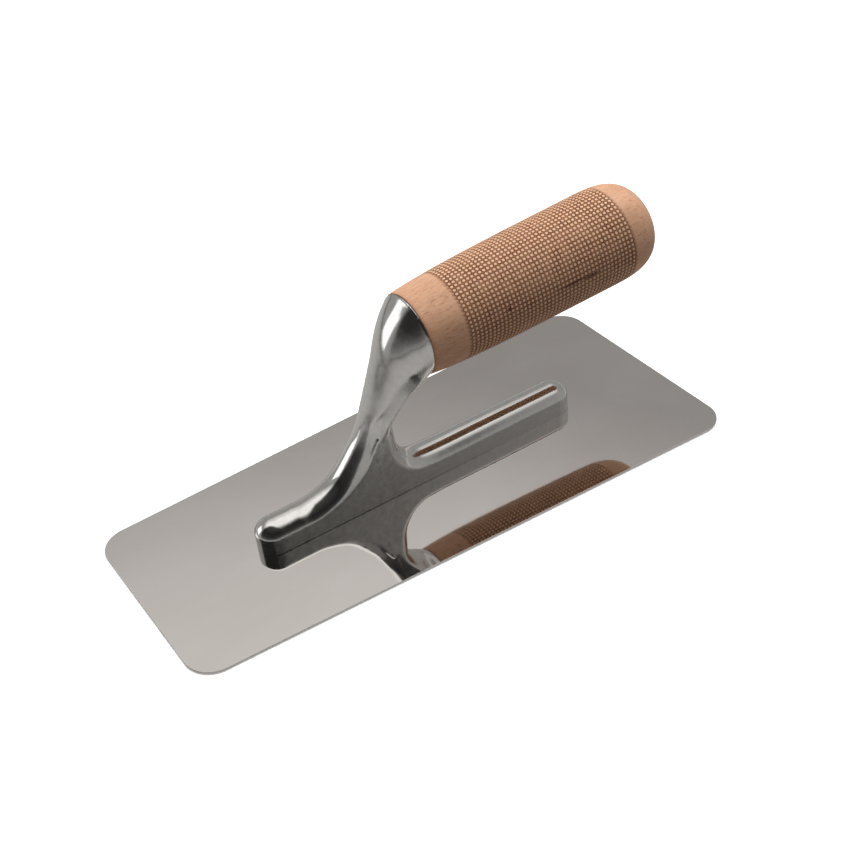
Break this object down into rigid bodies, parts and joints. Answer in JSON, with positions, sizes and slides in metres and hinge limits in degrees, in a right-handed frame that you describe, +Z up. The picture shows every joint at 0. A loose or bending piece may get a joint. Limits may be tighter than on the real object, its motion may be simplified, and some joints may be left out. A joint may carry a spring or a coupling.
{
  "type": "finishing trowel",
  "caption": "Steel finishing trowel: thin stainless blade riveted under a cast gooseneck bracket that carries a turned beech handle with a net-textured grip",
  "frame": {"origin": "centre of the blade's underside, at the bottom of the bounding box", "axes": "+X runs along the blade from the toe to the heel, +Z points up away from the working face, +Y completes the right-handed frame"},
  "size_m": [0.24, 0.1082, 0.0921],
  "materials": {
    "blade_steel": "mirror-polished stainless sheet",
    "cast_aluminium": "polished casting with satin side walls",
    "rivet_steel": "ground flush with the blade",
    "beech": "smooth turned beech with a burnt net-textured grip",
    "zinc_steel": "zinc plated"
  },
  "bodies": {
    "root": {"blade": "blade_steel", "bracket": "cast_aluminium", "blade_rivet_1": "rivet_steel", "blade_rivet_2": "rivet_steel", "blade_rivet_3": "rivet_steel", "blade_rivet_4": "rivet_steel", "blade_rivet_5": "rivet_steel", "blade_rivet_6": "rivet_steel", "handle": "beech", "handle_stud": "zinc_steel", "handle_washer": "zinc_steel", "handle_nut": "zinc_steel"}
  },
  "joints": []
}
